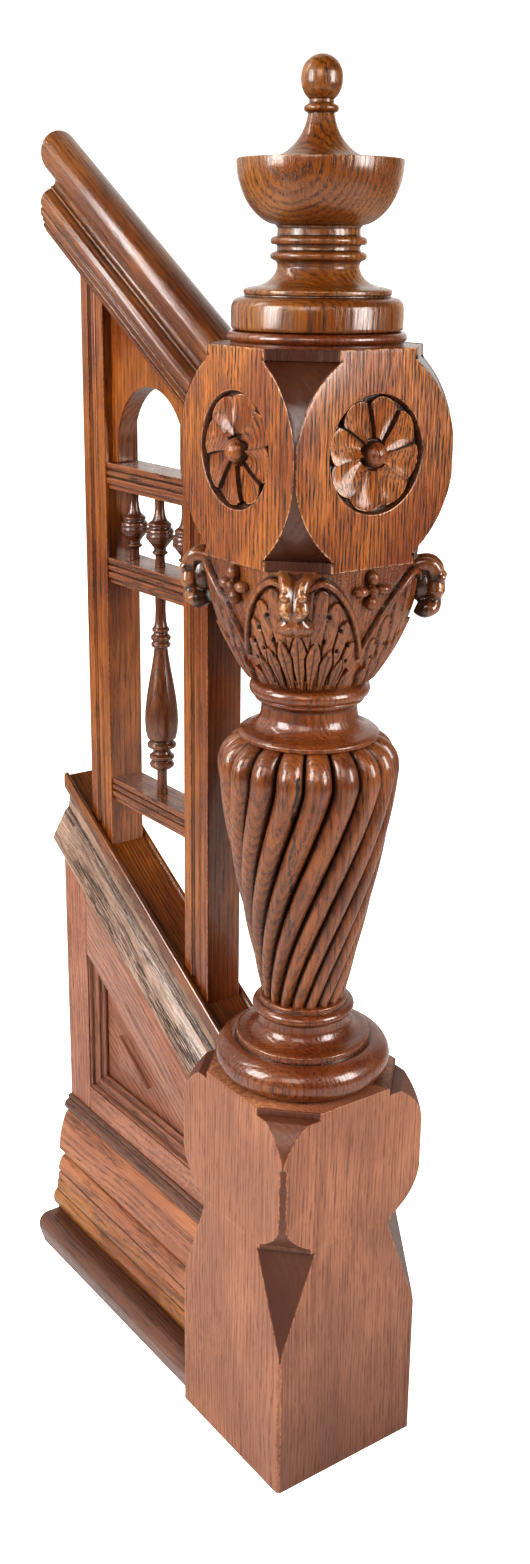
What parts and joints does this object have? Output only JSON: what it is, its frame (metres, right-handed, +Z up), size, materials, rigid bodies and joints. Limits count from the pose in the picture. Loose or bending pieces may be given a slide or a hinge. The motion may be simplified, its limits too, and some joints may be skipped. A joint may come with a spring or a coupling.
{
  "type": "newel post with balustrade",
  "caption": "Carved oak stair newel post with leaf capital, spiral fluted vase shaft and bowl finial, joined to a short raking balustrade on a panelled string.",
  "frame": {"origin": "centre of the newel post's underside, on the floor", "axes": "+Z up along the post's axis; -X and -Y are the post's show faces; the balustrade runs away from the post along +Y and climbs with the stair"},
  "size_m": [0.2202, 0.6151, 1.5958],
  "materials": {
    "carved_oak": "dark red-brown varnished oak, open pores, soft gloss",
    "amber_oak": "amber-brown varnished oak, glossy",
    "turned_oak": "very dark red-brown varnished oak, glossy",
    "string_oak": "pinkish brown worn varnish on oak, satin"
  },
  "bodies": {
    "root": {"newel_post": "carved_oak", "finial": "amber_oak", "handrail": "amber_oak", "stile_near": "amber_oak", "stile_far": "amber_oak", "arch_panel": "carved_oak", "rail_upper": "carved_oak", "rail_middle": "carved_oak", "rail_lower": "carved_oak", "spindle_short_1": "turned_oak", "spindle_short_2": "turned_oak", "spindle_short_3": "turned_oak", "spindle_long": "turned_oak", "string_trough": "amber_oak", "string_cap": "string_oak", "string_stile": "string_oak", "string_raking_rail": "string_oak", "string_bottom_rail": "string_oak", "string_panel": "string_oak", "panel_moulding_upright": "turned_oak", "panel_moulding_foot": "turned_oak", "skirting_cap": "turned_oak", "skirting_board": "string_oak", "skirting_step": "string_oak", "skirting_bead": "amber_oak", "skirting_shoe": "turned_oak"}
  },
  "joints": []
}
